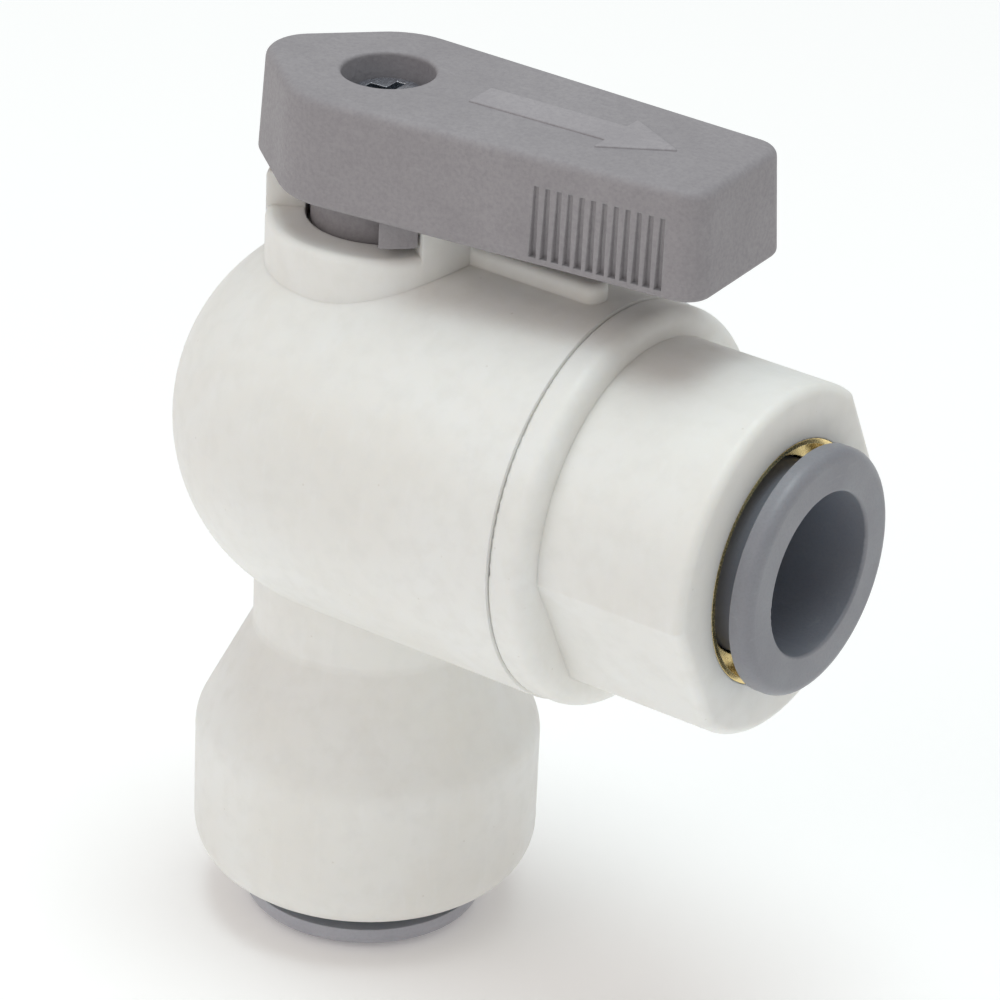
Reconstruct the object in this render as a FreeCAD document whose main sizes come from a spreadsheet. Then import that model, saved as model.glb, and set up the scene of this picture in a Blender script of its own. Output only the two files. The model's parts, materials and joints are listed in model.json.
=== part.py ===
import FreeCAD, Part
import Sketcher
import math
import operator
import os

# Quarter-turn elbow ball valve with push-in tube ports at 90 degrees, in millimetres.
# +Z runs up the stem, +X runs out of the side port, and the origin lies on the lower port's
# axis, level with the open face of the lower collet. Every piece is drawn about the centre
# of the ball or about the mouth of its port, and its Placement carries it to its place.

SIZES = {
    # overall
    "ball_height": 27.35,       # lower collet's face to the centre of the ball
    "nose_end": 24.1,           # centre of the ball to the end face of the side port
    # body shell
    "shell_wall": 2.15,         # wall round the end fitting's spigot
    "seam_at": 14.1,            # end of the body, where the end fitting's flange starts
    "waist_radius": 6.0,
    "waist_bottom": 11.4,       # below the ball's centre
    "waist_blend": 0.9,
    "port_top": 17.1,           # below the ball's centre, where the cone meets the port
    "port_wall": 2.73,          # brass sleeve's pocket to the outside of the lower port
    "port_land": 0.15,          # flat left between the pocket and the rounded end
    "port_blend": 2.4,
    # neck
    "neck_radius": 5.8,
    "neck_rise": 0.8,           # ring face above the top of the shell
    "neck_rounding": 0.4,
    "stop_notch": 114.0,        # open angle between the two stop faces
    "open_stop": -34.5,         # direction of the stop that the open lever rests on
    "rib_end_gap": 0.95,        # end of the top rib to the seam
    "rib_width": 1.5,
    "rib_rise": 0.95,
    "rib_rounding": 0.4,
    "rib_end_land": 0.05,       # flat left between the rib's two end roundings
    # end fitting
    "flange_rise": 1.35,        # flange's rim above the nose
    "flange_step": 0.1,         # flange smaller than the shell all round
    "flange_width": 1.9,
    "flange_rounding": 0.8,
    "seam_rounding": 0.2,
    "nose_wall": 2.63,          # brass sleeve's pocket to the outside of the nose
    "nose_rounding": 0.5,
    "flat_wall": 1.88,          # brass sleeve's pocket to a spanner flat
    "flats_angle": 27.0,
    "spigot_gap": 0.05,
    "oring_groove_depth": 1.35,
    "oring_groove_width": 1.7,
    "oring_groove_back": 2.1,   # seam to the outer side of the groove
    "oring_ease": 0.02,         # gap round an O-ring drawn unsqueezed
    # flow path and ball
    "tube_radius": 4.0,
    "tube_gap": 0.1,
    "flow_radius": 3.0,
    "ball_wall": 2.6,           # ball's surface outside its flow way
    "ball_gap": 0.6,
    "seat_gap": 0.05,
    "seat_lip": 0.75,           # width of the seat's edge that meets the ball
    "seat_inset": 0.4,          # seat's rim inside the ball's radius
    "seat_rim": 1.2,
    "seat_pocket_gap": 0.05,
    "spigot_clear": 0.6,        # spigot's inner end to the rim of the other seat
    # push-in cartridge, depths counted inward from the port's end face
    "cartridge_wall": 1.9,      # tube's bore to the wall of the cartridge bore
    "cartridge_depth": 10.0,
    "socket_length": 4.6,
    "sleeve_wall": 0.25,
    "sleeve_gap": 0.02,
    "sleeve_length": 4.6,
    "sleeve_lip_depth": 1.0,
    "sleeve_lip_thickness": 0.75,
    "sleeve_lip_gap": 0.12,
    "collet_standoff": 2.05,    # collet's face above the port's end face
    "collet_overhang": 0.07,    # flange outside the sleeve
    "collet_flange": 1.05,
    "collet_wall": 0.75,
    "collet_catch": 0.85,       # catch outside the collet's wall
    "collet_catch_gap": 0.15,
    "collet_catch_depth": 0.85,
    "collet_length": 4.9,       # depth of the collet's inner end
    "collet_lead": 0.35,
    "collet_slot": 0.6,
    "collet_slot_length": 3.4,
    "collet_turn": 13.0,
    "collet_rounding": 0.6,
    "collet_mouth": 0.15,
    "part_gap": 0.12,           # between a moving piece and the stop that it meets
    "collet_travel": 0.9,
    "grip_thickness": 0.3,
    "grip_band": 1.0,
    "grip_rake": 0.45,
    "grip_slot": 0.45,
    "spacer_thickness": 1.4,
    # stem
    "stem_radius": 2.5,
    "stem_gap": 0.05,
    "shoulder_rise": 0.7,
    "gland_length": 2.78,       # neck's bore round the two O-rings
    "washer_thickness": 0.35,
    "stem_oring_depth": 0.9,
    "stem_oring_width": 0.95,
    "stem_oring_first": 0.35,   # gland's lower end to the first groove
    "stem_oring_pitch": 1.25,
    "square_across": 3.4,
    "square_gap": 0.03,
    "square_top": 2.3,          # top of the square above the lever's underside
    "ball_flat_drop": 0.3,      # ball's flat below the top of the sphere
    "tang_width": 2.0,
    "tang_length": 5.0,
    "tang_depth": 1.4,
    "tang_gap": 0.05,
    # lever, its plan drawn at the underside
    "lever_angle": 3.3,         # the open lever stands this far past the port's axis
    "lever_gap": 2.05,          # ring face to the lever's underside
    "lever_thickness": 5.45,
    "lever_draft": 2.7,
    "lever_length": 20.04,
    "lever_head": 8.17,
    "shoulder_back": 2.0,
    "head_half_width": 5.6,
    "tip_half_width": 4.17,
    "head_point_rounding": 2.3,
    "head_side_rounding": 4.1,
    "tip_rounding": 1.35,
    "lever_top_rounding": 0.5,
    "lever_base_rounding": 0.3,
    "hub_radius": 3.6,
    "hub_pocket_gap": 0.25,
    "hub_drop": 0.4,            # hub below the ring face
    "floor_drop": 0.65,         # pocket floor below the ring face
    "tab_inset": 0.35,          # tab's outer face inside the neck
    "tab_angle": 20.0,
    "tab_lift": 0.5,
    "stop_play": 1.5,           # degrees between the tab and the open stop
    "wall_gap": 0.25,           # stop wall to the lever's underside
    "core_wall": 1.35,
    "core_rib": 0.9,
    "core_roof": 1.2,
    "core_start": 5.6,
    "grip_start": 13.4,         # along the lever's side, from the shoulder
    "grip_pitch": 0.6,
    "grip_mouth": 0.42,
    "grip_floor": 0.18,
    "grip_depth": 0.3,
    "grip_base": 0.4,
    "grip_top": 1.5,
    # screw
    "screw_well": 2.3,          # radius of the well in the lever's top
    "screw_well_rounding": 0.2,
    "screw_seat": 2.5,          # depth of the well
    "screw_hole": 1.35,
    "screw_head_radius": 1.95,
    "screw_head_height": 1.45,
    "screw_head_rounding": 0.5,
    "screw_shank": 1.2,
    "screw_point": 0.5,
    "screw_length": 5.3,
    "screw_recess_width": 0.5,
    "screw_recess_length": 2.3,
    "screw_recess_depth": 0.8,
    "overcut": 1.0,             # how far a cutter runs past the face that it opens
}
GRIP_GROOVES = 12
TEETH_CUTS = 6
COLLET_CUTS = 2

LEVEL = 1e-4    # two coordinates closer than this are the same
X_AXIS = FreeCAD.Vector(1, 0, 0)
Y_AXIS = FreeCAD.Vector(0, 1, 0)
Z_AXIS = FreeCAD.Vector(0, 0, 1)

doc = FreeCAD.newDocument("elbow_ball_valve")
sheet = doc.addObject("Spreadsheet::Sheet", "dims")
for row, (alias, number) in enumerate(SIZES.items(), start=1):
    sheet.set(f"A{row}", alias)
    sheet.set(f"B{row}", str(number))
    sheet.setAlias(f"B{row}", alias)
doc.recompute()


class Size:
    """A length or angle that carries its spreadsheet expression beside its value."""

    def __init__(self, text, value):
        self.text = text
        self.value = value

    def __add__(self, other):
        return combine(self, "+", other)

    def __radd__(self, other):
        return combine(other, "+", self)

    def __sub__(self, other):
        return combine(self, "-", other)

    def __rsub__(self, other):
        return combine(other, "-", self)

    def __mul__(self, other):
        return combine(self, "*", other)

    def __rmul__(self, other):
        return combine(other, "*", self)

    def __truediv__(self, other):
        return combine(self, "/", other)

    def __neg__(self):
        return combine(0, "-", self)


def lift(number):
    """Let a plain number stand where a Size is expected."""
    return number if isinstance(number, Size) else Size(str(number), float(number))


def combine(first, sign, second):
    """Join two sizes, in the expression and in the value."""
    first, second = lift(first), lift(second)
    sums = {"+": operator.add, "-": operator.sub, "*": operator.mul, "/": operator.truediv}
    return Size(f"({first.text} {sign} {second.text})", sums[sign](first.value, second.value))


def size(alias):
    """The named cell of the sheet."""
    return Size(f"dims.{alias}", float(sheet.get(alias)))


def root(number):
    return Size(f"sqrt({number.text})", math.sqrt(number.value))


def cosine(angle):
    return Size(f"cos({angle.text})", math.cos(math.radians(angle.value)))


def sine(angle):
    return Size(f"sin({angle.text})", math.sin(math.radians(angle.value)))


def tangent(angle):
    return Size(f"tan({angle.text})", math.tan(math.radians(angle.value)))


def bind(thing, prop, number):
    """Tie one property of an object to the sheet."""
    thing.setExpression(prop, lift(number).text)


# ---------------------------------------------------------------- PartDesign helpers

def new_body(label, across=0, up=None, turn=None, spin=None):
    """A body of its own, placed from the row's origin."""
    body = doc.addObject("PartDesign::Body", label)
    body.Label = label
    place(body, across, size("ball_height") if up is None else up, turn, spin)
    return body


def place(thing, across, up, turn=None, spin=None):
    """Set a placement: where it stands, and the axis and angle that it is turned by."""
    axis = turn if turn is not None else FreeCAD.Vector(0, 0, 1)
    angle = lift(spin if spin is not None else 0)
    spot = FreeCAD.Vector(lift(across).value, 0, lift(up).value)
    thing.Placement = FreeCAD.Placement(spot, FreeCAD.Rotation(axis, angle.value))
    bind(thing, "Placement.Base.x", across)
    bind(thing, "Placement.Base.z", up)
    if spin is not None:
        bind(thing, "Placement.Rotation.Angle", angle)


def plane_of(body, role):
    return [item for item in body.Origin.OriginFeatures if item.Role == role][0]


def new_sketch(body, role="XZ_Plane", lift_by=None, swing=None, along=None):
    """A sketch on an origin plane, lifted along its normal or swung about an axis."""
    sketch = body.newObject("Sketcher::SketchObject", f"{body.Name}_sketch")
    sketch.AttachmentSupport = [(plane_of(body, role), "")]
    sketch.MapMode = "FlatFace"
    if swing is not None:
        turn = FreeCAD.Rotation(along, lift(swing).value)
        sketch.AttachmentOffset = FreeCAD.Placement(FreeCAD.Vector(0, 0, 0), turn)
        bind(sketch, "AttachmentOffset.Rotation.Angle", swing)
    if lift_by is not None:
        bind(sketch, "AttachmentOffset.Base.z", lift_by)
    return sketch


def outline(sketch, corners):
    """Draw a closed chain of straight lines, each corner bound to the sheet."""
    corners = [(lift(x), lift(y)) for x, y in corners]
    spots = [FreeCAD.Vector(x.value, y.value, 0) for x, y in corners]
    first = sketch.GeometryCount
    count = len(corners)
    for i in range(count):
        sketch.addGeometry(Part.LineSegment(spots[i], spots[(i + 1) % count]), False)
    for i in range(count):
        after = first + (i + 1) % count
        sketch.addConstraint(Sketcher.Constraint("Coincident", first + i, 2, after, 1))
    for i, (x, y) in enumerate(corners):
        for kind, number in (("DistanceX", x), ("DistanceY", y)):
            rule = Sketcher.Constraint(kind, -1, 1, first + i, 1, number.value)
            index = sketch.addConstraint(rule)
            bind(sketch, f"Constraints[{index}]", number)
    return sketch


def rectangle(sketch, left, right, low, high):
    return outline(sketch, [(left, low), (right, low), (right, high), (left, high)])


def circle(sketch, radius):
    """A circle about the sketch's origin."""
    index = sketch.addGeometry(Part.Circle(FreeCAD.Vector(0, 0, 0), FreeCAD.Vector(0, 0, 1), radius.value))
    sketch.addConstraint(Sketcher.Constraint("Coincident", index, 3, -1, 1))
    rule = sketch.addConstraint(Sketcher.Constraint("Radius", index, radius.value))
    bind(sketch, f"Constraints[{rule}]", radius)
    return sketch


def feature(body, kind, sketch, name):
    made = body.newObject(f"PartDesign::{kind}", f"{body.Name}_{name}")
    made.Profile = sketch
    sketch.Visibility = False
    return made


def turned(body, corners, name, axis="V_Axis", kind="Revolution", angle=360, swing=None):
    """Revolve, or cut by revolving, a half section drawn on the XZ plane."""
    sketch = outline(new_sketch(body, swing=swing, along=Y_AXIS), corners)
    made = feature(body, kind, sketch, name)
    made.ReferenceAxis = (sketch, [axis])
    bind(made, "Angle", angle)
    doc.recompute()
    return made


def raised(body, sketch, name, height, kind="Pad", down=False, both_sides=False):
    """Pad or pocket a sketch by a bound length."""
    made = feature(body, kind, sketch, name)
    bind(made, "Length", height)
    made.Reversed = down
    made.Midplane = both_sides
    doc.recompute()
    return made


def primitive(body, kind, name, sizes, turn=None, angle=0, spot=(0, 0, 0)):
    """An additive or subtractive primitive inside a body."""
    made = body.newObject(f"PartDesign::{kind}", f"{body.Name}_{name}")
    axis = turn if turn is not None else FreeCAD.Vector(0, 0, 1)
    base = FreeCAD.Vector(*[lift(part).value for part in spot])
    made.Placement = FreeCAD.Placement(base, FreeCAD.Rotation(axis, angle))
    for letter, part in zip("xyz", spot):
        bind(made, f"Placement.Base.{letter}", part)
    for prop, number in sizes.items():
        bind(made, prop, number)
    doc.recompute()
    return made


def around(body, first, sketch, name, count, angle=360):
    """Repeat a feature about the sketch's normal."""
    made = body.newObject("PartDesign::PolarPattern", f"{body.Name}_{name}")
    made.Originals = [first]
    made.Axis = (sketch, ["N_Axis"])
    made.Angle = angle
    made.Occurrences = count
    body.Tip = made
    doc.recompute()
    return made


def edges_of(made, test):
    """Names of the edges of a feature that pass a test."""
    return [f"Edge{i}" for i, edge in enumerate(made.Shape.Edges, start=1) if test(edge)]


def is_rim(edge, radius, axis, at):
    """True for a circular edge of this radius about this axis at this place along it."""
    if edge.Degenerated or not isinstance(edge.Curve, Part.Circle):
        return False
    centre = edge.Curve.Center
    place_on_axis = getattr(centre, axis)
    return abs(edge.Curve.Radius - radius.value) < LEVEL and abs(place_on_axis - lift(at).value) < LEVEL


def rises_from(edge, x, height):
    """True for a straight edge that climbs from a corner with this X at this height."""
    if edge.Degenerated or not isinstance(edge.Curve, Part.Line):
        return False
    low, high = sorted((vertex.Point for vertex in edge.Vertexes), key=lambda point: point.z)
    return high.z > low.z + LEVEL and abs(low.z - height.value) < LEVEL and abs(low.x - x.value) < LEVEL


def is_upright(edge, x):
    """True for an upright straight edge with this X."""
    if edge.Degenerated or not isinstance(edge.Curve, Part.Line):
        return False
    return abs(abs(edge.Curve.Direction.z) - 1) < LEVEL and abs(edge.Vertexes[0].X - x.value) < LEVEL


def is_level(edge, height):
    """True for an edge that lies wholly at one height."""
    box = edge.BoundBox
    return abs(box.ZMin - height.value) < LEVEL and abs(box.ZMax - height.value) < LEVEL


def dressed(body, made, names, amount, name, kind="Fillet"):
    """Round or bevel the named edges."""
    rounded = body.newObject(f"PartDesign::{kind}", f"{body.Name}_{name}")
    rounded.Base = (made, names)
    bind(rounded, "Radius" if kind == "Fillet" else "Size", amount)
    doc.recompute()
    return rounded


def drafted(body, made, plan, angle, name):
    """Lean the upright faces of a pad inwards, away from the plane that it was drawn on."""
    sides = [f"Face{i}" for i, face in enumerate(made.Shape.Faces, start=1)
             if abs(face.normalAt(0, 0).z) < LEVEL]
    leaning = body.newObject("PartDesign::Draft", f"{body.Name}_{name}")
    leaning.Base = (made, sides)
    leaning.NeutralPlane = (plan, [""])
    bind(leaning, "Angle", angle)
    doc.recompute()
    return leaning


# ---------------------------------------------------------------- shared places

bore = size("tube_radius") + size("tube_gap")
cartridge_bore = bore + size("cartridge_wall")
collet_neck = bore + size("collet_wall")
collet_catch = collet_neck + size("collet_catch")
sleeve_lip_bore = collet_neck + size("sleeve_lip_gap")
sleeve_bore = collet_catch + size("collet_catch_gap")
sleeve_radius = sleeve_bore + size("sleeve_wall")
sleeve_pocket = sleeve_radius + size("sleeve_gap")
collet_flange_radius = sleeve_radius + size("collet_overhang")
port_radius = sleeve_pocket + size("port_wall")
nose_radius = sleeve_pocket + size("nose_wall")
half_across_flats = sleeve_pocket + size("flat_wall")

ball_radius = size("flow_radius") + size("ball_wall")
cavity = ball_radius + size("ball_gap")
seat_face = ball_radius + size("seat_gap")
seat_lip = size("flow_radius") + size("seat_lip")
seat_front = root(seat_face * seat_face - seat_lip * seat_lip)
seat_radius = ball_radius - size("seat_inset")
seat_shoulder = seat_front + seat_radius - seat_lip
seat_back = seat_shoulder + size("seat_rim")
seat_pocket = seat_radius + size("seat_pocket_gap")
spigot_start = seat_radius + size("spigot_clear")
flange_radius = nose_radius + size("flange_rise")
shell_radius = flange_radius + size("flange_step")
spigot_bore = shell_radius - size("shell_wall")
spigot = spigot_bore - size("spigot_gap")
flange_front = size("seam_at") + size("flange_width")
lower_end = size("ball_height") - size("collet_standoff")

ring_face = shell_radius + size("neck_rise")
pocket_floor = ring_face - size("floor_drop")
hub_pocket = size("hub_radius") + size("hub_pocket_gap")
tab_radius = size("neck_radius") - size("tab_inset")
lever_base = ring_face + size("lever_gap")
lever_top = lever_base + size("lever_thickness")
stop_wall_top = lever_base - size("wall_gap")
ball_flat = ball_radius - size("ball_flat_drop")
gland_base = pocket_floor - size("gland_length")
shoulder_top = gland_base - size("washer_thickness") - size("part_gap")
stem_bore = size("stem_radius") + size("stem_gap")
shoulder_radius = size("stem_radius") + size("shoulder_rise")
shoulder_bore = shoulder_radius + size("stem_gap")


def port_section(end):
    """Half section of the bores of a push-in port whose end face is at this distance."""
    inner = end - size("cartridge_depth")
    stop = inner - size("socket_length")
    return [
        (0, seat_back), (size("flow_radius"), seat_back), (size("flow_radius"), stop),
        (bore, stop), (bore, inner), (cartridge_bore, inner),
        (cartridge_bore, end - size("sleeve_length")), (sleeve_pocket, end - size("sleeve_length")),
        (sleeve_pocket, end),
    ]


# ---------------------------------------------------------------- fixed pieces

def make_body():
    """One moulding: round shell, neck with its stop wall, and the lower tube port."""
    body = new_body("valve_body")
    primitive(body, "AdditiveSphere", "dome", {"Radius": shell_radius})
    primitive(body, "AdditiveCylinder", "barrel", {"Radius": shell_radius, "Height": size("seam_at")},
              turn=Y_AXIS, angle=90)
    branch = turned(body, [
        (0, 0), (size("waist_radius"), 0), (size("waist_radius"), -size("waist_bottom")),
        (port_radius, -size("port_top")), (port_radius, -lower_end), (0, -lower_end),
    ], "branch")
    rims = (("end", port_radius, -lower_end, size("port_wall") - size("port_land")),
            ("cone", port_radius, -size("port_top"), size("port_blend")),
            ("waist", size("waist_radius"), -size("waist_bottom"), size("waist_blend")))
    for name, radius, height, amount in rims:
        names = edges_of(branch, lambda edge: is_rim(edge, radius, "z", height))
        branch = dressed(body, branch, names, amount, f"{name}_round")
    ring = raised(body, circle(new_sketch(body, "XY_Plane"), size("neck_radius")), "neck", ring_face)
    names = edges_of(ring, lambda edge: is_rim(edge, size("neck_radius"), "z", ring_face))
    dressed(body, ring, names, size("neck_rounding"), "neck_round")
    wall = turned(body, [
        (hub_pocket, 0), (size("neck_radius"), 0), (size("neck_radius"), stop_wall_top),
        (hub_pocket, stop_wall_top),
    ], "stop_wall", angle=360 - size("stop_notch"), swing=size("open_stop"))
    names = edges_of(wall, lambda edge: is_rim(edge, size("neck_radius"), "z", stop_wall_top))
    dressed(body, wall, names, size("seam_rounding"), "stop_wall_round")
    half = size("rib_width") / 2
    rib_top = shell_radius + size("rib_rise")
    rib_end = size("seam_at") - size("rib_end_gap")
    sketch = rectangle(new_sketch(body, "XY_Plane"), hub_pocket, rib_end, -half, half)
    rib = raised(body, sketch, "rib", rib_top)
    names = edges_of(rib, lambda edge: is_upright(edge, rib_end))
    rib = dressed(body, rib, names, half - size("rib_end_land"), "rib_end_round")
    names = edges_of(rib, lambda edge: is_level(edge, rib_top))
    dressed(body, rib, names, size("rib_rounding"), "rib_round")

    # hollow the shell for the ball, the spigot and the seats
    primitive(body, "SubtractiveSphere", "ball_room", {"Radius": cavity})
    turned(body, [
        (0, 0), (0, cavity), (spigot_start, cavity), (spigot_start, spigot_bore),
        (size("seam_at"), spigot_bore), (size("seam_at"), 0),
    ], "side_bore", axis="H_Axis", kind="Groove")
    lower = [(x, -z) for x, z in port_section(lower_end)]
    turned(body, lower + [(0, -lower_end)], "lower_bore", kind="Groove")
    turned(body, [(0, 0), (seat_pocket, 0), (seat_pocket, -seat_back), (0, -seat_back)],
           "seat_pocket", kind="Groove")
    turned(body, [
        (0, 0), (shoulder_bore, 0), (shoulder_bore, gland_base), (stem_bore, gland_base),
        (stem_bore, pocket_floor), (hub_pocket, pocket_floor), (hub_pocket, lever_top), (0, lever_top),
    ], "stem_bore", kind="Groove")
    return body


def make_end_fitting():
    """The nose that closes the shell and carries the side tube port."""
    body = new_body("end_fitting")
    end = size("nose_end")
    section = [
        (spigot_start, spigot), (size("seam_at"), spigot), (size("seam_at"), flange_radius),
        (flange_front, flange_radius), (flange_front, nose_radius), (end, nose_radius),
    ]
    inside = [(along, radius) for radius, along in port_section(end)]
    section += inside[:0:-1] + [(seat_back, seat_pocket), (spigot_start, seat_pocket)]
    nose = turned(body, section, "section", axis="H_Axis")
    for name, at, amount in (("flange", flange_front, "flange_rounding"),
                             ("seam", size("seam_at"), "seam_rounding")):
        names = edges_of(nose, lambda edge: is_rim(edge, flange_radius, "x", at))
        nose = dressed(body, nose, names, size(amount), f"{name}_round")
    groove_end = size("seam_at") - size("oring_groove_back")
    groove_start = groove_end - size("oring_groove_width")
    groove_floor = spigot - size("oring_groove_depth")
    turned(body, [
        (groove_start, groove_floor), (groove_end, groove_floor),
        (groove_end, spigot + size("overcut")), (groove_start, spigot + size("overcut")),
    ], "oring_groove", axis="H_Axis", kind="Groove")
    # two spanner flats, cut from the end face back to the flange
    reach = flange_radius + size("overcut")
    for name, left, right in (("first_flat", half_across_flats, reach),
                              ("second_flat", -reach, -half_across_flats)):
        sketch = new_sketch(body, "YZ_Plane", lift_by=flange_front, swing=size("flats_angle"),
                            along=Z_AXIS)
        rectangle(sketch, left, right, -reach, reach)
        cut = raised(body, sketch, name, end - flange_front + size("overcut"), kind="Pocket", down=True)
    names = edges_of(cut, lambda edge: edge.BoundBox.XMin > end.value - LEVEL
                     and not is_rim(edge, sleeve_pocket, "x", end))
    dressed(body, cut, names, size("nose_rounding"), "nose_round")
    return body


def make_seat(label, turn, angle):
    """A ring with a bevelled rim and an edge hollowed to the ball."""
    body = new_body(label, turn=turn, spin=angle)
    turned(body, [
        (size("flow_radius"), seat_front), (seat_lip, seat_front), (seat_radius, seat_shoulder),
        (seat_radius, seat_back), (size("flow_radius"), seat_back),
    ], "ring")
    primitive(body, "SubtractiveSphere", "face", {"Radius": seat_face})
    return body


def make_oring(label, middle, thickness, across, up, turn=None, angle=None):
    """A plain torus."""
    ring = doc.addObject("Part::Torus", label)
    ring.Label = label
    bind(ring, "Radius1", middle)
    bind(ring, "Radius2", thickness)
    place(ring, across, up, turn, angle)
    return ring


# ---------------------------------------------------------------- pieces of a push-in port
# Drawn with +Z out of the port and the origin in its end face.

def make_sleeve(label, *where):
    """Brass sleeve whose inner lip holds the collet in."""
    body = new_body(label, *where)
    lip_top = -size("sleeve_lip_depth")
    lip_low = lip_top - size("sleeve_lip_thickness")
    turned(body, [
        (sleeve_lip_bore, lip_low), (sleeve_bore, lip_low), (sleeve_bore, -size("sleeve_length")),
        (sleeve_radius, -size("sleeve_length")), (sleeve_radius, 0), (sleeve_bore, 0),
        (sleeve_bore, lip_top), (sleeve_lip_bore, lip_top),
    ], "section")
    return body


def make_collet(label, *where):
    """Release collet: flange outside, split catch inside."""
    body = new_body(label, *where)
    face = size("collet_standoff")
    flange_back = face - size("collet_flange")
    catch_top = -(size("sleeve_lip_depth") + size("sleeve_lip_thickness") + size("part_gap"))
    catch_low = catch_top - size("collet_catch_depth")
    inner_end = -size("collet_length")
    collar = turned(body, [
        (bore, face), (collet_flange_radius, face), (collet_flange_radius, flange_back),
        (collet_neck, flange_back), (collet_neck, catch_top), (collet_catch, catch_top),
        (collet_neck, catch_low), (collet_neck, inner_end + size("collet_lead")),
        (collet_neck - size("collet_lead"), inner_end), (bore, inner_end),
    ], "section")
    rims = (("flange", collet_flange_radius, "collet_rounding"), ("mouth", bore, "collet_mouth"))
    for name, radius, amount in rims:
        names = edges_of(collar, lambda edge: is_rim(edge, radius, "z", face))
        collar = dressed(body, collar, names, size(amount), f"{name}_round")
    reach = collet_catch + size("overcut")
    sketch = new_sketch(body, swing=size("collet_turn"), along=Y_AXIS)
    rectangle(sketch, -reach, reach, inner_end - size("overcut"), inner_end + size("collet_slot_length"))
    cut = raised(body, sketch, "slot", size("collet_slot"), kind="Pocket", both_sides=True)
    spin = circle(new_sketch(body, "XY_Plane"), bore)
    around(body, cut, spin, "slots", COLLET_CUTS, 90)
    return body


def make_grip_ring(label, *where):
    """Toothed stainless ring that bites the tube."""
    body = new_body(label, *where)
    outer = cartridge_bore - size("spigot_gap")
    root_radius = outer - size("grip_band")
    top = -size("collet_length") - size("collet_travel") - size("part_gap")
    low = top - size("grip_thickness")
    turned(body, [
        (root_radius, top), (outer, top), (outer, low), (root_radius, low),
        (bore, low - size("grip_rake")), (bore, top - size("grip_rake")),
    ], "section")
    sketch = rectangle(new_sketch(body), -root_radius, root_radius,
                       low - size("overcut"), top + size("overcut"))
    cut = raised(body, sketch, "cut", size("grip_slot"), kind="Pocket", both_sides=True)
    spin = circle(new_sketch(body, "XY_Plane"), bore)
    around(body, cut, spin, "cuts", TEETH_CUTS, 180 - 180 / TEETH_CUTS)
    return body


def make_spacer(label, *where):
    """Stepped backing ring between the grip ring and the O-ring."""
    body = new_body(label, *where)
    outer = cartridge_bore - size("spigot_gap")
    top = spacer_low() + size("spacer_thickness")
    turned(body, [
        (bore, top - size("grip_rake")), (outer - size("grip_band"), top), (outer, top),
        (outer, spacer_low()), (bore, spacer_low()),
    ], "section")
    return body


def spacer_low():
    """Depth of the spacer's inner face, which the tube O-ring lies against."""
    return -(size("cartridge_depth") - 2 * tube_oring_radius() - 2 * size("oring_ease"))


def tube_oring_radius():
    """Half the thickness of the tube O-ring, which fills the gap round the tube."""
    return (cartridge_bore - bore) / 2 - size("oring_ease") / 2


def make_port(name, across, up, turn, angle):
    """All loose pieces of one push-in port."""
    where = (across, up, turn, angle)
    make_sleeve(f"brass_sleeve_{name}", *where)
    make_collet(f"release_collet_{name}", *where)
    make_grip_ring(f"grip_ring_{name}", *where)
    make_spacer(f"backing_ring_{name}", *where)
    thickness = tube_oring_radius()
    depth = size("cartridge_depth") - thickness - size("oring_ease")
    if name == "side":
        across = across - depth
    else:
        up = up + depth
    make_oring(f"tube_oring_{name}", bore + thickness, thickness, across, up, turn, angle)


# ---------------------------------------------------------------- pieces that turn

def make_ball():
    """Ball with an L-shaped way: out of the side when open, and always down."""
    body = new_body("ball", spin=size("lever_angle"))
    primitive(body, "AdditiveSphere", "sphere", {"Radius": ball_radius})
    reach = ball_radius + size("overcut")
    way = {"Radius": size("flow_radius"), "Height": reach}
    primitive(body, "SubtractiveCylinder", "side_way", way, turn=Y_AXIS, angle=90)
    primitive(body, "SubtractiveCylinder", "lower_way", way, turn=X_AXIS, angle=180)
    primitive(body, "SubtractiveSphere", "elbow", {"Radius": size("flow_radius")})
    top = rectangle(new_sketch(body, "XY_Plane", lift_by=ball_flat), -reach, reach, -reach, reach)
    raised(body, top, "flat", size("overcut"), kind="Pocket", down=True)
    half_long = size("tang_length") / 2 + size("tang_gap")
    half_wide = size("tang_width") / 2 + size("tang_gap")
    depth = size("tang_depth") + size("tang_gap")
    slot = rectangle(new_sketch(body, "XY_Plane", lift_by=ball_flat - depth),
                     -half_wide, half_wide, -half_long, half_long)
    raised(body, slot, "slot", depth + size("overcut"), kind="Pocket", down=True)
    return body


def make_stem():
    """Stem: tang, shoulder that can't blow out, two O-ring grooves, square drive."""
    body = new_body("stem", spin=size("lever_angle"))
    shaft = size("stem_radius")
    groove = shaft - size("stem_oring_depth")
    base = ball_flat + size("part_gap")
    section = [(0, base), (shoulder_radius, base), (shoulder_radius, shoulder_top), (shaft, shoulder_top)]
    for turn in range(2):
        low = stem_groove(turn)
        high = low + size("stem_oring_width")
        section += [(shaft, low), (groove, low), (groove, high), (shaft, high)]
    section += [(shaft, pocket_floor), (0, pocket_floor)]
    turned(body, section, "section")
    half = size("square_across") / 2
    square = rectangle(new_sketch(body, "XY_Plane", lift_by=pocket_floor), -half, half, -half, half)
    raised(body, square, "square", lever_base + size("square_top") - pocket_floor)
    half_long = size("tang_length") / 2
    half_wide = size("tang_width") / 2
    tang = rectangle(new_sketch(body, "XY_Plane", lift_by=base),
                     -half_wide, half_wide, -half_long, half_long)
    raised(body, tang, "tang", size("tang_depth") + size("part_gap"), down=True)
    hole_top = lever_base + size("square_top")
    hole_low = lever_top - size("screw_seat") - size("screw_length") - size("part_gap")
    turned(body, [
        (0, hole_low), (size("screw_shank") + size("square_gap"), hole_low),
        (size("screw_shank") + size("square_gap"), hole_top), (0, hole_top),
    ], "screw_hole", kind="Groove")
    return body


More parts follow.
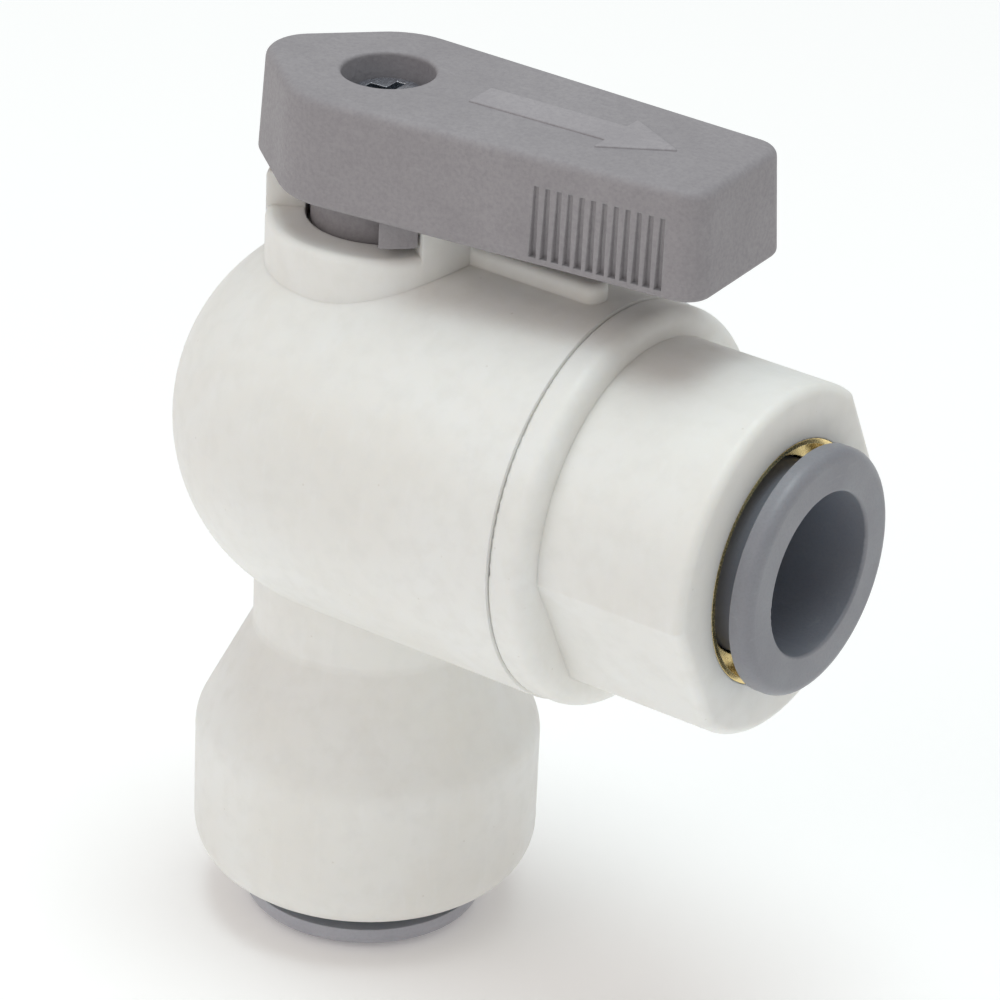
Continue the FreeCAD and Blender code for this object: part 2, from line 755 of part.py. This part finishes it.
def stem_groove(index):
    """Height of the lower side of one of the stem's O-ring grooves."""
    return gland_base + size("stem_oring_first") + index * size("stem_oring_pitch")


def make_stem_seals():
    """Two O-rings in the stem's grooves and the washer on its shoulder."""
    washer = new_body("stem_washer", spin=size("lever_angle"))
    turned(washer, [
        (stem_bore, shoulder_top), (shoulder_radius, shoulder_top),
        (shoulder_radius, shoulder_top + size("washer_thickness")),
        (stem_bore, shoulder_top + size("washer_thickness")),
    ], "ring")
    thickness = size("stem_oring_depth") / 2 - size("oring_ease")
    middle = size("stem_radius") - size("stem_oring_depth") / 2
    for index, name in enumerate(("lower", "upper")):
        level = stem_groove(index) + size("stem_oring_width") / 2
        make_oring(f"stem_oring_{name}", middle, thickness, 0, size("ball_height") + level)


def side_angle():
    """Taper of the lever's long sides, in plan."""
    run = size("lever_length") + size("shoulder_back")
    rise = size("head_half_width") - size("tip_half_width")
    return Size(f"atan(({rise.text}) / ({run.text}))", math.degrees(math.atan(rise.value / run.value)))


def make_lever():
    """Tapered lever with a pointed head, side grips, a hub and a stop tab under it."""
    body = new_body("lever", spin=size("lever_angle"))
    wide, narrow = size("head_half_width"), size("tip_half_width")
    back, tip = -size("shoulder_back"), size("lever_length")
    plan = outline(new_sketch(body, "XY_Plane", lift_by=lever_base), [
        (-size("lever_head"), 0), (back, -wide), (tip, -narrow), (tip, narrow), (back, wide),
    ])
    block = raised(body, plan, "block", size("lever_thickness"))
    block = drafted(body, block, plan, size("lever_draft"), "draft")
    corners = (("point", -size("lever_head"), "head_point_rounding"), ("side", back, "head_side_rounding"),
               ("tip", tip, "tip_rounding"))
    for name, at, amount in corners:
        names = edges_of(block, lambda edge: rises_from(edge, at, lever_base))
        block = dressed(body, block, names, size(amount), f"{name}_round")
    names = edges_of(block, lambda edge: is_level(edge, lever_top))
    block = dressed(body, block, names, size("lever_top_rounding"), "top_round")
    names = edges_of(block, lambda edge: is_level(edge, lever_base))
    dressed(body, block, names, size("lever_base_rounding"), "base_round")
    add_grips(body)
    add_core(body)

    # hub in the neck's pocket, and the tab that swings in the neck's notch
    hub_low = ring_face - size("hub_drop")
    hub_top = lever_base + size("core_roof")
    raised(body, circle(new_sketch(body, "XY_Plane", lift_by=hub_low), size("hub_radius")), "hub",
           hub_top - hub_low)
    tab_low = ring_face + size("tab_lift")
    last = size("open_stop") - size("stop_play") - size("lever_angle")
    tab_root = size("hub_radius") / 2
    turned(body, [(tab_root, tab_low), (tab_radius, tab_low), (tab_radius, hub_top), (tab_root, hub_top)],
           "tab", angle=size("tab_angle"), swing=last - size("tab_angle"))

    # square hole for the stem, screw hole and screw well
    half = size("square_across") / 2 + size("square_gap")
    square = rectangle(new_sketch(body, "XY_Plane", lift_by=hub_low), -half, half, -half, half)
    raised(body, square, "square", lever_base - hub_low + size("square_top") + size("square_gap"),
           kind="Pocket", down=True)
    seat = lever_top - size("screw_seat")
    well = turned(body, [
        (0, lever_base), (size("screw_hole"), lever_base), (size("screw_hole"), seat),
        (size("screw_well"), seat), (size("screw_well"), lever_top), (0, lever_top),
    ], "well", kind="Groove")
    names = edges_of(well, lambda edge: is_rim(edge, size("screw_well"), "z", lever_top))
    dressed(body, well, names, size("screw_well_rounding"), "well_round")
    return body


def add_grips(body):
    """A row of small upright grooves in each long side, which run out towards the top."""
    wide = size("head_half_width")
    taper = side_angle()
    shoulder = -size("shoulder_back")
    low = lever_base + size("grip_base")
    height = size("lever_thickness") - size("grip_base") - size("grip_top")
    mouth, floor = size("grip_mouth") / 2, size("grip_floor") / 2
    for side, name in ((-1, "near"), (1, "far")):
        sketch = new_sketch(body, "XY_Plane", lift_by=low, swing=-side * taper, along=Z_AXIS)
        # the side's line, seen in the sketch turned to run along it
        face = side * (wide * cosine(taper) + shoulder * sine(taper))
        middle = shoulder * cosine(taper) + size("grip_start") - wide * sine(taper)
        slope = (size("grip_mouth") - size("grip_floor")) / (2 * size("grip_depth"))
        proud = size("grip_depth")
        deep, outside = face - side * size("grip_depth"), face + side * proud
        spread = mouth + proud * slope
        corners = [(middle - floor, deep), (middle + floor, deep), (middle + spread, outside),
                   (middle - spread, outside)]
        outline(sketch, corners)
        groove = raised(body, sketch, f"{name}_groove", height, kind="Pocket", down=True)
        row = body.newObject("PartDesign::LinearPattern", f"{body.Name}_{name}_grooves")
        row.Originals = [groove]
        row.Direction = (sketch, ["H_Axis"])
        bind(row, "Length", size("grip_pitch") * (GRIP_GROOVES - 1))
        row.Occurrences = GRIP_GROOVES
        body.Tip = row
        doc.recompute()


def add_core(body):
    """Two moulding cores under the handle, one each side of a middle rib."""
    taper = tangent(side_angle())
    wide = size("head_half_width") - size("core_wall")
    start, end = size("core_start"), size("lever_length") - size("core_wall")
    rib = size("core_rib") / 2
    outer_start = wide - (start + size("shoulder_back")) * taper
    outer_end = wide - (end + size("shoulder_back")) * taper
    for side, name in ((-1, "near"), (1, "far")):
        sketch = new_sketch(body, "XY_Plane", lift_by=lever_base)
        outline(sketch, [(start, side * rib), (end, side * rib), (end, side * outer_end),
                         (start, side * outer_start)])
        raised(body, sketch, f"{name}_core", size("lever_thickness") - size("core_roof"),
               kind="Pocket", down=True)


def make_screw():
    """Cross-recess screw that holds the lever on the stem."""
    seat = lever_top - size("screw_seat")
    body = new_body("lever_screw", up=size("ball_height") + seat, spin=size("lever_angle"))
    head = turned(body, [
        (0, -size("screw_length")), (size("screw_shank") - size("screw_point"), -size("screw_length")),
        (size("screw_shank"), -size("screw_length") + size("screw_point")), (size("screw_shank"), 0),
        (size("screw_head_radius"), 0), (size("screw_head_radius"), size("screw_head_height")),
        (0, size("screw_head_height")),
    ], "section")
    names = edges_of(head, lambda edge: is_rim(edge, size("screw_head_radius"), "z",
                                               size("screw_head_height")))
    dressed(body, head, names, size("screw_head_rounding"), "head_round")
    half_long = size("screw_recess_length") / 2
    half_wide = size("screw_recess_width") / 2
    sketch = rectangle(new_sketch(body, "XY_Plane", lift_by=size("screw_head_height")),
                       -half_long, half_long, -half_wide, half_wide)
    cut = raised(body, sketch, "recess", size("screw_recess_depth"), kind="Pocket")
    around(body, cut, sketch, "cross", 2, 90)
    return body


def make_all():
    make_body()
    make_end_fitting()
    make_seat("seat_side", Y_AXIS, Size("90", 90.0))
    make_seat("seat_lower", X_AXIS, Size("180", 180.0))
    groove_middle = size("seam_at") - size("oring_groove_back") - size("oring_groove_width") / 2
    thickness = (size("oring_groove_depth") + size("spigot_gap")) / 2 - size("oring_ease")
    middle = spigot_bore - thickness - size("oring_ease")
    make_oring("end_fitting_oring", middle, thickness, groove_middle, size("ball_height"),
               Y_AXIS, Size("90", 90.0))
    make_port("side", size("nose_end"), size("ball_height"), Y_AXIS, Size("90", 90.0))
    make_port("lower", 0, size("collet_standoff"), X_AXIS, Size("180", 180.0))
    make_ball()
    make_stem()
    make_stem_seals()
    make_lever()
    make_screw()


make_all()
doc.recompute()

faults = [f"{item.Label}: {item.State}" for item in doc.Objects
          if "Invalid" in item.State or "Error" in item.State]
pieces = [item for item in doc.Objects if item.TypeId in ("PartDesign::Body", "Part::Torus")]
for piece in pieces:
    shape = piece.Shape
    if shape.isNull() or not shape.isValid():
        faults.append(f"{piece.Label}: shape is null or not valid")
    elif len(shape.Solids) != 1:
        faults.append(f"{piece.Label}: {len(shape.Solids)} solids")
if faults:
    raise RuntimeError("; ".join(faults))

os.makedirs("parts", exist_ok=True)
for piece in pieces:
    piece.Shape.exportStep(f"parts/{piece.Label}.step")
    box = piece.Shape.BoundBox
    print(f"{piece.Label:24s} volume {piece.Shape.Volume:9.2f}  x {box.XMin:7.2f} {box.XMax:7.2f}"
          f"  y {box.YMin:7.2f} {box.YMax:7.2f}  z {box.ZMin:7.2f} {box.ZMax:7.2f}")
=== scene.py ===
"""Looks of an elbow ball valve with push-in tube ports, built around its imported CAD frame."""
import json
import math

import bmesh
import bpy
from mathutils import Matrix, Vector


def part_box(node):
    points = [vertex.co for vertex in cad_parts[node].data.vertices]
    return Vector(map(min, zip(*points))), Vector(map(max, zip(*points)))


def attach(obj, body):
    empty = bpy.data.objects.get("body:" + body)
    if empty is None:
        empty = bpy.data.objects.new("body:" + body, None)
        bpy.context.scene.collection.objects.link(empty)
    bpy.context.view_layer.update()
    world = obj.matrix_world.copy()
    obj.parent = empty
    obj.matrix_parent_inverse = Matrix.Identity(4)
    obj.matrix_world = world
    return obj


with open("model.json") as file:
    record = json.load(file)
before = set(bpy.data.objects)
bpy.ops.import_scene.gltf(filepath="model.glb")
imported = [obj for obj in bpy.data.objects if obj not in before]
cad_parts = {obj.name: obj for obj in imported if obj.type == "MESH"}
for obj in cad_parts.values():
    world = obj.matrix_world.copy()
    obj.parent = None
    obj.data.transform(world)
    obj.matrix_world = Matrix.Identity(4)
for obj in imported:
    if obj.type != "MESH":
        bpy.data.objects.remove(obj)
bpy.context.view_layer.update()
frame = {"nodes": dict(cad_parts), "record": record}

MM = 0.001

# The camera's place, in degrees and metres. VIEW_AIM is measured from the crossing of the ports' axes.
VIEW_AZIMUTH = 34.76
VIEW_ELEVATION = 27.16
VIEW_ROLL = 2.56
VIEW_DISTANCE = 0.24645
VIEW_AIM = Vector((0.00618, 0.00209, -0.00353))
VIEW_LENS = 178.32

WHITE = (1.0, 1.0, 1.0)
# The lower collet is drawn brighter than the side one: painted light, standing in for light from below.
COLLET_PAINTED_LIGHT = 1.8           # lower collet's brightness over the side one's
MARK_TONE = 1.15            # lever mark's brightness over the lever's

# The flow arrow on the lever, which stands a little past the side port's axis.
LEVER_ANGLE = 3.3           # degrees
MARK_START = 5.2 * MM       # from the lever's turning axis
MARK_LENGTH = 11.0 * MM
MARK_WIDTH = 4.0 * MM
MARK_HEAD = 3.4 * MM
MARK_SHAFT = 2.0 * MM
MARK_HEIGHT = 0.1 * MM
MARK_SOFTNESS = 1.6         # width of its bevel over its height

# The studio: colours are plain red, green and blue, and powers are in watts.
FLOOR_HALF = 1.5
FLOOR_LEVEL = -0.2 * MM
FLOOR_GLOW = 0.14
SKY = (1.0, 0.975, 0.95, 1)
SKY_STRENGTH = 0.455
LAMP_SIZE = 0.34
LAMPS = (                   # name, place, power, colour
    ("key", (-0.16, -0.34, 0.30), 0.34, (1.0, 0.90, 0.86)),
    ("top", (0.02, 0.02, 0.55), 1.55, (0.86, 0.97, 1.0)),
)


def middle_of(node):
    """The middle of a CAD node's box."""
    low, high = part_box(node)
    return (low + high) / 2


def crossing():
    """Where the axes of the two ports and the stem cross."""
    axis = middle_of("stem")
    return Vector((axis.x, axis.y, middle_of("brass_sleeve_side").z))


def aim(piece, place, target):
    """Puts a lamp at place, turned to shine at target."""
    piece.location = place
    piece.rotation_euler = (target - place).to_track_quat("-Z", "Y").to_euler()


def make_camera():
    """A long lens from above and in front of the side port."""
    azimuth, elevation, roll = (math.radians(a) for a in (VIEW_AZIMUTH, VIEW_ELEVATION, VIEW_ROLL))
    back = Vector((math.sin(azimuth) * math.cos(elevation), -math.cos(azimuth) * math.cos(elevation),
                   math.sin(elevation)))
    level = Vector((math.cos(azimuth), math.sin(azimuth), 0))
    upright = back.cross(level)
    right = level * math.cos(roll) + upright * math.sin(roll)
    up = upright * math.cos(roll) - level * math.sin(roll)
    data = bpy.data.cameras.new("camera")
    data.lens = VIEW_LENS
    data.sensor_width = 36
    data.clip_start = 0.01
    camera = bpy.data.objects.new("camera", data)
    turn = Matrix((right, up, back)).transposed()
    place = crossing() + VIEW_AIM + back * VIEW_DISTANCE
    camera.matrix_world = Matrix.Translation(place) @ turn.to_4x4()
    bpy.context.scene.collection.objects.link(camera)
    bpy.context.scene.camera = camera


class Look:
    """One material: a Principled shader, and short calls that add the nodes in front of it."""

    def __init__(self, name, **constants):
        self.material = bpy.data.materials.new(name)
        self.material.use_nodes = True
        self.tree = self.material.node_tree
        self.shader = self.tree.nodes["Principled BSDF"]
        for socket, value in constants.items():
            self.shader.inputs[socket.replace("_", " ")].default_value = value
        self.place = self.tree.nodes.new("ShaderNodeTexCoord").outputs["Object"]

    def node(self, kind, inputs=None, **settings):
        """Adds one shader node, with its settings, and feeds its inputs with values or other nodes' outputs."""
        made = self.tree.nodes.new("ShaderNode" + kind)
        for name, value in settings.items():
            setattr(made, name, value)
        for name, value in (inputs or {}).items():
            self.feed(made.inputs[name], value)
        return made

    def feed(self, socket, value):
        if isinstance(value, bpy.types.NodeSocket):
            self.tree.links.new(value, socket)
        else:
            socket.default_value = value

    def stretched(self, scale):
        return self.node("Mapping", {"Vector": self.place, "Scale": scale}).outputs["Vector"]

    def noise(self, size, detail=3.0, rough=0.55, distortion=0.0, along=None):
        """Soft noise from 0 to 1, with marks about size across, in metres."""
        place = self.place if along is None else self.stretched(along)
        made = self.node("TexNoise", {"Vector": place, "Scale": 1 / size, "Detail": detail, "Roughness": rough,
                                      "Distortion": distortion})
        return made.outputs["Fac"]

    def cells(self, size):
        """The distance to the middle of the nearest of many small cells."""
        made = self.node("TexVoronoi", {"Vector": self.place, "Scale": 1 / size})
        return made.outputs["Distance"]

    def span(self, value, low, high, start=0.0, end=1.0):
        """A value from low to high, spread from start to end, and held beyond them."""
        made = self.node("MapRange", {"Value": value, "From Min": low, "From Max": high, "To Min": start,
                                      "To Max": end}, clamp=True)
        return made.outputs["Result"]

    def math(self, operation, first, second):
        return self.node("Math", {0: first, 1: second}, operation=operation).outputs["Value"]

    def mix(self, share, first, second):
        """The first colour where share is 0, and the second where it is 1."""
        made = self.node("Mix", data_type="RGBA")
        colours = [socket for socket in made.inputs if socket.type == "RGBA"]
        self.feed(made.inputs["Factor"], share)
        for socket, value in zip(colours, (first, second)):
            self.feed(socket, value if isinstance(value, bpy.types.NodeSocket) else (*value, 1.0))
        return next(socket for socket in made.outputs if socket.type == "RGBA")

    def rounded(self, radius):
        """The surface's direction with its sharp edges rounded off, and a mask that is 1 on those edges."""
        soft = self.node("Bevel", {"Radius": radius}, samples=6).outputs["Normal"]
        flat = self.node("NewGeometry").outputs["Normal"]
        facing = self.node("VectorMath", {0: soft, 1: flat}, operation="DOT_PRODUCT").outputs["Value"]
        return soft, self.span(facing, 0.99, 0.86)

    def hollows(self, reach):
        """1 in the corners and grooves that reach leaves dark, 0 in the open."""
        open_share = self.node("AmbientOcclusion", {"Distance": reach}, samples=6, only_local=True).outputs["AO"]
        return self.span(open_share, 0.75, 0.25)

    def bump(self, height, depth, over=None):
        """The surface's direction with height raised by up to depth, on top of the direction in over."""
        inputs = {"Height": height, "Distance": depth, "Strength": 1.0}
        if over is not None:
            inputs["Normal"] = over
        return self.node("Bump", inputs).outputs["Normal"]

    def finish(self, colour=None, roughness=None, normal=None):
        for name, value in (("Base Color", colour), ("Roughness", roughness), ("Normal", normal)):
            if value is not None:
                self.feed(self.shader.inputs[name], value)
        return self.material


def white_polymer():
    """Moulded acetal: a warm white, faintly see-through, with soft flow marks and a fine matt skin."""
    look = Look("white_polymer", Specular_IOR_Level=0.42, Subsurface_Weight=0.18, Subsurface_Scale=0.0006,
                Subsurface_Radius=(1.0, 0.85, 0.65))
    soft, edges = look.rounded(0.12 * MM)
    flow = look.noise(9 * MM, detail=2.0, distortion=0.6)
    mottle = look.noise(1.1 * MM, detail=4.0)
    streaks = look.noise(0.5 * MM, detail=3.0, along=(1.0, 1.0, 0.14))
    specks = look.span(look.cells(1.6 * MM), 0.045, 0.02)
    colour = look.mix(look.span(flow, 0.35, 0.68), (0.865, 0.862, 0.838), (0.835, 0.818, 0.775))
    colour = look.mix(look.span(mottle, 0.45, 0.7, 0.0, 0.5), colour, (0.80, 0.79, 0.755))
    colour = look.mix(look.span(streaks, 0.55, 0.75, 0.0, 0.28), colour, (0.885, 0.885, 0.87))
    colour = look.mix(look.math("MULTIPLY", edges, 0.45), colour, (0.90, 0.90, 0.885))
    # Painted shade: a warm tan laid into the corners and grooves that ambient occlusion finds dark.
    colour = look.mix(look.math("MULTIPLY", look.hollows(1.2 * MM), 0.3), colour, (0.66, 0.60, 0.52))
    colour = look.mix(look.math("MULTIPLY", specks, 0.3), colour, (0.55, 0.5, 0.43))
    worn = look.math("ADD", look.span(mottle, 0.3, 0.7, 0.40, 0.55), look.math("MULTIPLY", edges, -0.1))
    skin = look.noise(0.09 * MM, detail=3.0, rough=0.6)
    normal = look.bump(flow, 0.09 * MM, over=soft)
    normal = look.bump(streaks, 0.006 * MM, over=normal)
    normal = look.bump(skin, 0.004 * MM, over=normal)
    return look.finish(colour, worn, normal)


def toned(colour, tone):
    """The colour made brighter or darker by tone."""
    return tuple(part * tone for part in colour)


def grey_lever(name="grey_lever", tone=1.0):
    """Glass-filled nylon: a slightly pink grey with a fine spark-eroded grain and rubbed edges."""
    look = Look(name, Specular_IOR_Level=0.38)
    soft, edges = look.rounded(0.14 * MM)
    cloud = look.noise(5 * MM, detail=3.0, distortion=0.4)
    grain = look.noise(0.22 * MM, detail=5.0, rough=0.65)
    fibres = look.noise(0.3 * MM, detail=2.0, along=(0.22, 1.0, 1.0))
    pits = look.cells(0.26 * MM)
    colour = look.mix(look.span(cloud, 0.35, 0.65), toned((0.33, 0.312, 0.325), tone),
                      toned((0.296, 0.279, 0.292), tone))
    colour = look.mix(look.span(grain, 0.4, 0.68, 0.0, 0.5), colour, toned((0.238, 0.222, 0.24), tone))
    colour = look.mix(look.span(fibres, 0.6, 0.75, 0.0, 0.3), colour, (0.37, 0.355, 0.37))
    rubbed = look.math("MULTIPLY", edges, look.span(look.noise(1.4 * MM), 0.35, 0.6, 0.25, 0.8))
    colour = look.mix(rubbed, colour, (0.42, 0.415, 0.43))
    # Painted shade: a dark grey laid into the grip grooves and corners that ambient occlusion finds dark.
    colour = look.mix(look.math("MULTIPLY", look.hollows(0.8 * MM), 0.35), colour, (0.16, 0.148, 0.152))
    shine = look.math("ADD", look.span(grain, 0.3, 0.7, 0.50, 0.64), look.math("MULTIPLY", rubbed, -0.16))
    normal = look.bump(grain, 0.022 * MM, over=soft)
    normal = look.bump(pits, 0.010 * MM, over=normal)
    normal = look.bump(cloud, 0.05 * MM, over=normal)
    return look.finish(colour, shine, normal)


def grey_collet(name="grey_collet", tone=1.0):
    """Smoother acetal than the lever's: a cool grey with faint scuffs, and painted bluish shade inside its bore.
    """
    look = Look(name, Specular_IOR_Level=0.45, Subsurface_Weight=0.05, Subsurface_Scale=0.0003)
    soft, edges = look.rounded(0.1 * MM)
    cloud = look.noise(3 * MM, detail=2.0)
    grain = look.noise(0.14 * MM, detail=4.0)
    scuffs = look.noise(0.5 * MM, detail=3.0, along=(1.0, 0.18, 1.0), distortion=0.5)
    colour = look.mix(look.span(cloud, 0.35, 0.65), toned((0.262, 0.266, 0.290), tone),
                      toned((0.24, 0.242, 0.268), tone))
    colour = look.mix(look.span(grain, 0.45, 0.7, 0.0, 0.4), colour, toned((0.208, 0.208, 0.232), tone))
    colour = look.mix(look.span(scuffs, 0.62, 0.75, 0.0, 0.35), colour, (0.34, 0.345, 0.37))
    colour = look.mix(look.math("MULTIPLY", edges, 0.55), colour, (0.37, 0.375, 0.40))
    # Painted shade: a dark blue laid into the bore and other deep recesses that ambient occlusion finds dark.
    colour = look.mix(look.math("MULTIPLY", look.hollows(7 * MM), 0.85), colour, (0.08, 0.21, 0.40))
    shine = look.math("ADD", look.span(cloud, 0.3, 0.7, 0.36, 0.48), look.span(scuffs, 0.6, 0.75, 0.0, 0.14))
    normal = look.bump(grain, 0.006 * MM, over=soft)
    normal = look.bump(scuffs, 0.006 * MM, over=normal)
    return look.finish(colour, shine, normal)


def metal(name, bright, dull, polish, brushed=WHITE, hollow_colour=None, depth=0.004):
    """A turned or plated metal: brightness in soft patches, fine lines along one axis and rubbed edges."""
    look = Look(name, Metallic=1.0)
    soft, edges = look.rounded(0.06 * MM)
    cloud = look.noise(1.6 * MM, detail=4.0)
    lines = look.noise(0.11 * MM, detail=3.0, along=brushed)
    colour = look.mix(look.span(cloud, 0.35, 0.68), bright, dull)
    # The hollows that ambient occlusion finds are darkened towards this colour.
    if hollow_colour is not None:
        colour = look.mix(look.math("MULTIPLY", look.hollows(0.6 * MM), 0.7), colour, hollow_colour)
    colour = look.mix(look.math("MULTIPLY", edges, 0.4), colour, tuple(min(1.0, c * 1.15) for c in bright))
    shine = look.span(lines, 0.3, 0.7, polish - 0.07, polish + 0.1)
    return look.finish(colour, shine, look.bump(lines, depth * MM, over=soft))


def rubber():
    """Black seal rubber with a faint grey bloom."""
    look = Look("seal_rubber", Specular_IOR_Level=0.3, Sheen_Weight=0.15)
    bloom = look.noise(0.7 * MM, detail=4.0)
    grain = look.noise(0.12 * MM, detail=3.0)
    colour = look.mix(look.span(bloom, 0.45, 0.75), (0.018, 0.018, 0.019), (0.045, 0.044, 0.042))
    return look.finish(colour, look.span(grain, 0.3, 0.7, 0.5, 0.68), look.bump(grain, 0.01 * MM))


def fluoropolymer(name, pale, deep):
    """A waxy turned plastic, for the seats, washer and backing rings."""
    look = Look(name, Specular_IOR_Level=0.35, Subsurface_Weight=0.2, Subsurface_Scale=0.0005)
    soft, edges = look.rounded(0.08 * MM)
    cloud = look.noise(1.8 * MM, detail=3.0)
    turning = look.noise(0.16 * MM, detail=2.0)
    colour = look.mix(look.span(cloud, 0.35, 0.65), pale, deep)
    colour = look.mix(look.math("MULTIPLY", edges, 0.4), colour, WHITE)
    return look.finish(colour, look.span(turning, 0.3, 0.7, 0.34, 0.5), look.bump(turning, 0.005 * MM, over=soft))


def make_looks():
    """The looks, by the material slot that each is for."""
    return {
        "white_polymer": white_polymer(),
        "grey_lever": grey_lever(),
        "grey_collet": grey_collet(),
        "brass": metal("brass", (0.93, 0.73, 0.34), (0.84, 0.63, 0.27), 0.24, depth=0.0003),
        "nickel_brass": metal("nickel_brass", (0.66, 0.62, 0.53), (0.55, 0.5, 0.4), 0.3, (1.0, 1.0, 0.2)),
        "ball_steel": metal("ball_steel", (0.72, 0.71, 0.69), (0.62, 0.61, 0.6), 0.14, (0.3, 1.0, 1.0),
                            depth=0.001),
        "stainless": metal("stainless", (0.66, 0.65, 0.63), (0.54, 0.53, 0.51), 0.28, (0.2, 1.0, 1.0)),
        "zinc_screw": metal("zinc_screw", (0.70, 0.74, 0.80), (0.52, 0.57, 0.64), 0.24, (1.0, 0.3, 1.0),
                            (0.2, 0.2, 0.2)),
        "seal_rubber": rubber(),
        "white_seat": fluoropolymer("white_seat", (0.86, 0.86, 0.84), (0.78, 0.78, 0.76)),
        "backing_polymer": fluoropolymer("backing_polymer", (0.55, 0.53, 0.48), (0.46, 0.44, 0.4)),
    }


def paint(looks):
    """Gives each CAD node the look of its material slot. The lower collet gets a brighter copy of the collet
    look: painted light from below.
    """
    slots = {row["node"]: row["material_slot"] for row in frame["record"]["subparts"]}
    for name, node in frame["nodes"].items():
        node.data.materials.clear()
        node.data.materials.append(looks[slots[name]])
    # Painted light: a brighter copy of the collet look on the lower collet, standing in for light from below.
    frame["nodes"]["release_collet_lower"].data.materials[0] = grey_collet("grey_collet_painted_light", COLLET_PAINTED_LIGHT)


def flat_arrow(length, width, head, shaft):
    """The plan of an arrow that lies along +X from the origin: a shaft with a wide head."""
    half, thin = width / 2, shaft / 2
    return [(0, -thin), (length - head, -thin), (length - head, -half), (length, 0), (length - head, half),
            (length - head, thin), (0, thin)]


def raised_mark(name, plan, height, place, angle, look):
    """A shallow moulded shape that stands on a level face, with its edges rounded."""
    made = bmesh.new()
    base = [made.verts.new((x, y, -height)) for x, y in plan]
    bottom = made.faces.new(base)
    top = bmesh.ops.extrude_face_region(made, geom=[bottom])["geom"]
    bmesh.ops.translate(made, verts=[v for v in top if isinstance(v, bmesh.types.BMVert)], vec=(0, 0, 2 * height))
    bmesh.ops.recalc_face_normals(made, faces=made.faces)
    mesh = bpy.data.meshes.new(name)
    made.to_mesh(mesh)
    made.free()
    piece = bpy.data.objects.new(name, mesh)
    bpy.context.scene.collection.objects.link(piece)
    piece.location = place
    piece.rotation_euler.z = angle
    softened = piece.modifiers.new("softened", "BEVEL")
    softened.width = MARK_SOFTNESS * height
    softened.segments = 3
    softened.limit_method = "ANGLE"
    mesh.materials.append(look)
    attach(piece, "lever_assembly")


def make_lever_mark(look):
    """A plain flow arrow moulded faintly on top of the lever, between the screw well and the tip."""
    turn = math.radians(LEVER_ANGLE)
    start = middle_of("lever_screw") + Vector((math.cos(turn), math.sin(turn), 0)) * MARK_START
    start.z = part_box("lever")[1].z
    plan = flat_arrow(MARK_LENGTH, MARK_WIDTH, MARK_HEAD, MARK_SHAFT)
    raised_mark("lever_mark", plan, MARK_HEIGHT, start, turn, look)


def make_stage():
    """A pale floor that glows faintly."""
    floor = bpy.data.meshes.new("floor")
    signs = ((-1, -1), (1, -1), (1, 1), (-1, 1))
    floor.from_pydata([(x * FLOOR_HALF, y * FLOOR_HALF, FLOOR_LEVEL) for x, y in signs], [], [(0, 1, 2, 3)])
    piece = bpy.data.objects.new("floor", floor)
    bpy.context.scene.collection.objects.link(piece)
    look = Look("floor", Specular_IOR_Level=0.1, Emission_Color=(1.0, 0.95, 0.92, 1.0),
                Emission_Strength=FLOOR_GLOW)
    cloud = look.noise(0.2, detail=2.0)
    floor.materials.append(look.finish(look.mix(cloud, (0.93, 0.93, 0.93), (0.95, 0.95, 0.95)), 0.95))


def make_lights():
    """An even sky, a soft lamp in front on the left, and a stronger one overhead."""
    target = middle_of("valve_body")
    world = bpy.data.worlds.new("studio")
    world.use_nodes = True
    sky = world.node_tree.nodes["Background"].inputs
    sky["Color"].default_value = SKY
    sky["Strength"].default_value = SKY_STRENGTH
    bpy.context.scene.world = world
    for name, place, power, colour in LAMPS:
        data = bpy.data.lights.new(name, "AREA")
        data.size = LAMP_SIZE
        data.energy = power
        data.color = colour
        lamp = bpy.data.objects.new(name, data)
        aim(lamp, Vector(place), target)
        bpy.context.scene.collection.objects.link(lamp)


make_camera()
looks = make_looks()
paint(looks)
make_lever_mark(grey_lever("grey_lever_mark", MARK_TONE))
make_stage()
make_lights()
bpy.context.scene.view_settings.view_transform = "Standard"
